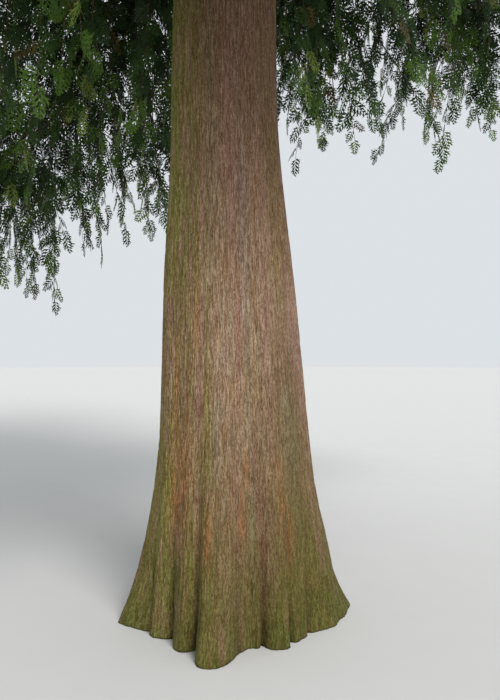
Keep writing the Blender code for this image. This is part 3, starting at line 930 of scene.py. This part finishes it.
def teeth(root, along, long, half):
    # Three-cornered leaves that stand on their axis: right, tip, left.
    normal = np.stack([-along[:, 1], along[:, 0]], -1) * half[:, None]
    corners = np.stack([root - normal, root + along * long[:, None], root + normal], 1).reshape(-1, 2)
    return corners, np.arange(3 * len(root)).reshape(-1, 3)


def joined(parts):
    # Puts flat parts into one shape. It droops by 0.16 x^2 along its length and 0.5 y^2 across it.
    corners = np.concatenate([corners for corners, faces in parts])
    starts = np.cumsum([0] + [len(corners) for corners, faces in parts[:-1]])
    faces = np.concatenate([faces + start for (corners, faces), start in zip(parts, starts)])
    drop = 0.16 * corners[:, 0] ** 2 + 0.5 * corners[:, 1] ** 2
    return np.concatenate([corners, drop[:, None]], 1), faces


def axisAndLaterals(count, uneven, phase):
    # Laterals left and right in turn on an axis of unit length, longest a third of the way along.
    x = 0.07 + 0.86 * np.linspace(0, 1, count)
    side = np.where(np.arange(count) % 2, 1.0, -1.0)
    long = 0.44 * np.sin(np.pi * x**0.62) ** 0.75 * (1 - 0.35 * x) + 0.05
    long = long * (1 + uneven * np.sin(7.3 * np.arange(count) + phase))
    lean = np.radians(blend(54, 32, x) + 7 * np.sin(3.1 * np.arange(count) + phase))
    return np.stack([x, 0 * x], -1), np.stack([np.cos(lean), side * np.sin(lean)], -1), long


def detailedSprayShape(phase):
    # A flat cedar spray: an axis, laterals, and three small teeth on each lateral.
    root, along, long = axisAndLaterals(11, 0.22, phase)
    axis = lances(np.zeros((1, 2)), np.array([[1.0, 0.0]]), np.ones(1), np.array([0.016]), 0.3)
    laterals = lances(root, along, long, 0.026 + 0.06 * long, 0.4)
    share = np.array([0.25, 0.48, 0.7])
    turn = np.radians([42.0, -40.0, 38.0])
    base = (root[:, None, :] + along[:, None, :] * (long[:, None] * share)[..., None]).reshape(-1, 2)
    cos, sin = np.cos(turn), np.sin(turn)
    x = along[:, None, 0] * cos - along[:, None, 1] * sin
    y = along[:, None, 0] * sin + along[:, None, 1] * cos
    small = (long[:, None] * np.array([0.44, 0.42, 0.32])).ravel() + 0.03
    tips = teeth(base, np.stack([x, y], -1).reshape(-1, 2), small, np.full(len(base), 0.032))
    return joined([axis, laterals, tips])


def simpleSprayShape(phase):
    # The same outline with one tooth for each lateral, for the sprays that are seen from far off.
    root, along, long = axisAndLaterals(12, 0.2, phase)
    axis = lances(np.zeros((1, 2)), np.array([[1.0, 0.0]]), np.ones(1), np.array([0.035]), 0.4)
    return joined([axis, teeth(root, along, long, np.full(len(root), 0.054))])


phases = (0.0, 2.1, 4.2)
detailedSprays = [detailedSprayShape(phase) for phase in phases]
simpleSprays = [simpleSprayShape(phase) for phase in phases]


def dealt(places, shapes):
    # Every third spray gets the first shape, and so on.
    batches = []
    for first, shape in enumerate(shapes):
        share = {key: values[first :: len(shapes)] for key, values in places.items()}
        batches.append((share, shape))
    return batches


def spraysPiece(name, batches, nodes):
    # Each spray's corner = root + length (along heading + across width - drop normal).
    allPoints, allFaces, allTones = [], [], []
    offset = 0
    for places, (shape, faces) in batches:
        normal = np.cross(places["heading"], places["width"])
        down = normal * np.where(normal[:, 2:] < 0, 1.0, -1.0)
        corners = shape @ np.stack([places["heading"], places["width"], down], 1)
        points = places["root"][:, None, :] + corners * places["length"][:, None, None]
        steps = offset + np.arange(len(points))[:, None, None] * len(shape)
        allPoints.append(points.reshape(-1, 3))
        allFaces.append((faces[None] + steps).reshape(-1, 3))
        allTones.append(np.repeat(places["tone"], len(faces)))
        offset += points.shape[0] * points.shape[1]
    points, faces = np.concatenate(allPoints), np.concatenate(allFaces)
    piece = makeMesh(name, points, [faces], sprayFinishes, None, np.concatenate(allTones), smooth=False)
    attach(piece, "root")
    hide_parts(*nodes)
    print(name, len(faces), "triangles")


def twigsPiece(name, lines, radii, sides, nodes):
    # Thin round twigs that taper from their root to their tip.
    taper = np.linspace(1.0, 0.35, lines.shape[1])[None, :, None]
    points = tubePoints(lines, radii[:, None, None] * taper * np.ones(sides))
    piece = makeMesh(name, points, tubeFaces(len(lines), lines.shape[1], sides), [twigFinish])
    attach(piece, "root")
    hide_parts(*nodes)


def crownPieces():
    # Masses are grown from the lowest up and joined in groups that stay under the face limit.
    chance = np.random.default_rng(tree["seed"])
    batch, nodes, faces, number, wood = [], [], 0, 1, []
    for line in sorted(boughLines + innerLines, key=lambda line: line.index):
        grown, places = growMass(line, chance)
        wood.append(grown)
        shapes = detailedSprays if line.index in sprays["detailed"] else simpleSprays
        added = len(places["root"]) * len(shapes[0][1])
        if faces + added > sprays["most"]:
            spraysPiece(f"sprays{number:02d}", batch, nodes)
            batch, nodes, faces, number = [], [], 0, number + 1
        batch += dealt(places, shapes)
        nodes += [node for node in line.nodes[:1] if node not in nodes]
        faces += added
    spraysPiece(f"sprays{number:02d}", batch, nodes)
    allNodes = [line.nodes[0] for line in boughLines]
    twigLines, twigRadii, branchletLines, branchletRadii = [np.concatenate(parts) for parts in zip(*wood)]
    twigsPiece("sideTwigs", twigLines, twigRadii, 5, allNodes)
    twigsPiece("branchlets", branchletLines, branchletRadii, 3, allNodes)
    limbs = np.array([line.point(np.linspace(0, bough["end"], inner["rings"])) for line in innerLines])
    thickness = np.array([line.thickness for line in innerLines])
    twigsPiece("innerBoughs", limbs, thickness, inner["sides"], allNodes)


crownPieces()
print("crown made")


# The leader above the trunk's tip

leader = {
    "radius": 0.014, "nod": (-0.09, 0.03), "branchlets": 46, "from": 18.0, "to": 19.42, "sprayShare": 0.8,
    "length": (0.66, 0.2), "lengths": (0.75, 1.05), "fall": 0.3, "fallUneven": (-0.2, 0.15),
}


def leaderPoint(share):
    # A point at a share of the shoot, which nods by x share^2 and y share as it rises.
    nodX, nodY = leader["nod"]
    rise = (tree["height"] - trunk["top"]) * share
    return trunkAxis(trunk["top"]) + np.stack([nodX * share**2, nodY * share, rise], -1)


def leaderPieces():
    # A nodding shoot with short branchlets on a spiral, each set with sprays. They begin on the trunk's
    # tip. Three sprays that stand up close the very end.
    chance = np.random.default_rng(tree["seed"] + 1)
    count = leader["branchlets"]
    along = np.linspace(0, 1, count)
    height = blend(leader["from"], leader["to"], along)
    onShoot = leaderPoint((height - trunk["top"]) / (tree["height"] - trunk["top"]))
    start = np.where(height[:, None] < trunk["top"], trunkAxis(height), onShoot)
    fall = leader["fall"] + chance.uniform(*leader["fallUneven"], count)
    direction = hanging(unit(tree["spiralTurn"] * np.arange(count)), fall)
    long = blend(*leader["length"], along) * chance.uniform(*leader["lengths"], count)
    places = placeSprays(start, direction, direction, acrossOf(direction)[0], long, 0.0, 1, False, chance)
    places["length"] = places["length"] * leader["sprayShare"]
    tip = {
        "root": leaderPoint(np.array([0.7, 0.8, 0.9])),
        "heading": normalised(0.4 * unit(np.array([20.0, 150.0, 260.0])) + 0.5 * up),
        "width": unit(np.array([110.0, 240.0, 350.0])),
        "length": np.array([0.2, 0.16, 0.1]), "tone": np.array([2, 2, 3]),
    }
    nodes = ["foliage_top", "foliage_38"]
    spraysPiece("spraysTop", dealt(places, detailedSprays) + dealt(tip, detailedSprays), nodes)
    lines = saggingLines(start, direction, long, 4, 0.0, 1)
    twigsPiece("topTwigs", lines, np.full(count, branchlets["radius"]), 3, nodes)
    shoot = leaderPoint(np.linspace(-0.05, 1, 8))[None]
    twigsPiece("leaderShoot", shoot, np.array([leader["radius"]]), 8, ["foliage_top"])


leaderPieces()
print("leader made")


# Floor, light and camera

stageValues = {
    "floorRadius": 90.0, "floorDrop": 0.002, "floorColour": (0.62, 0.61, 0.59), "floorShade": 0.96,
    "worldColour": (0.80, 0.84, 0.88), "worldStrength": 0.9,
    "sunStrength": 2.6, "sunAngle": 24.0, "sunTilt": (48, 0, 28),
    "cameraPlace": (0.082, -4.26, 1.6), "cameraPitch": 0.41, "lens": 36.0,
}


def makeStage():
    # A pale round floor just below the ground, an even sky with one soft sun, and the photo's view.
    v = stageValues
    rim = v["floorRadius"] * unit(360 * np.arange(96) / 96) - v["floorDrop"] * up
    s = Shader("paleFloor", 0.8)
    low = tuple(c * v["floorShade"] for c in v["floorColour"])
    finish = s.finish(s.mix(low, v["floorColour"], s.noise(s.position(), 3.0, 4)))
    floor = makeMesh("floor", rim, [np.arange(len(rim))[None, :]], [finish], smooth=False)
    world = bpy.data.worlds.new("softSky")
    bpy.context.scene.world = world
    world.use_nodes = True
    background = world.node_tree.nodes["Background"].inputs
    background["Color"].default_value = (*v["worldColour"], 1)
    background["Strength"].default_value = v["worldStrength"]
    light = bpy.data.lights.new("softSun", "SUN")
    light.energy = v["sunStrength"]
    light.angle = math.radians(v["sunAngle"])
    addObject("softSun", light).rotation_euler = [math.radians(a) for a in v["sunTilt"]]
    camera = bpy.data.cameras.new("camera")
    camera.lens = v["lens"]
    camera.sensor_width = 36.0
    camera.clip_end = 500
    eye = addObject("camera", camera)
    eye.location = v["cameraPlace"]
    eye.rotation_euler = (math.radians(90 + v["cameraPitch"]), 0, 0)
    bpy.context.scene.camera = eye
    bpy.context.scene.view_settings.view_transform = "Standard"


makeStage()
print("stage made")
